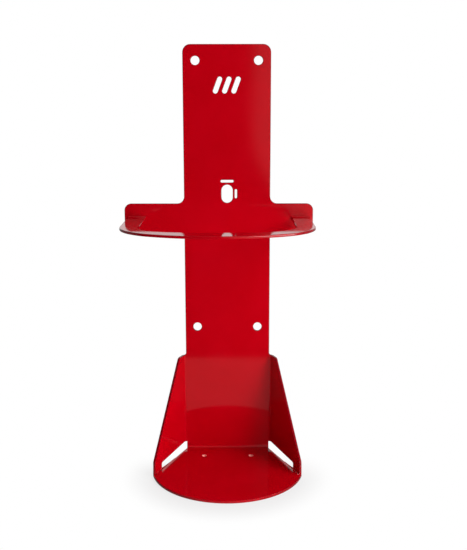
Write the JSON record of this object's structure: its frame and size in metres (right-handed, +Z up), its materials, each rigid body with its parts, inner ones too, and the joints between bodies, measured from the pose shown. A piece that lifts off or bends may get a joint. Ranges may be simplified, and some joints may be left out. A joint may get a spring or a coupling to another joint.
{
  "type": "fire extinguisher bracket",
  "caption": "Folded steel wall bracket with a rounded shelf between splayed gussets and a guard ring on a cross bar, to stand a slim fire extinguisher in",
  "frame": {"origin": "middle of the four wall holes, on the face that lies against the wall", "axes": "+X to the right seen from the front, -Y out of the wall towards the room, +Z up"},
  "size_m": [0.2195, 0.149, 0.4825],
  "materials": {
    "red_powder_coat": "glossy"
  },
  "bodies": {
    "root": {"bracket_body": "red_powder_coat", "guard_ring": "red_powder_coat"}
  },
  "joints": []
}
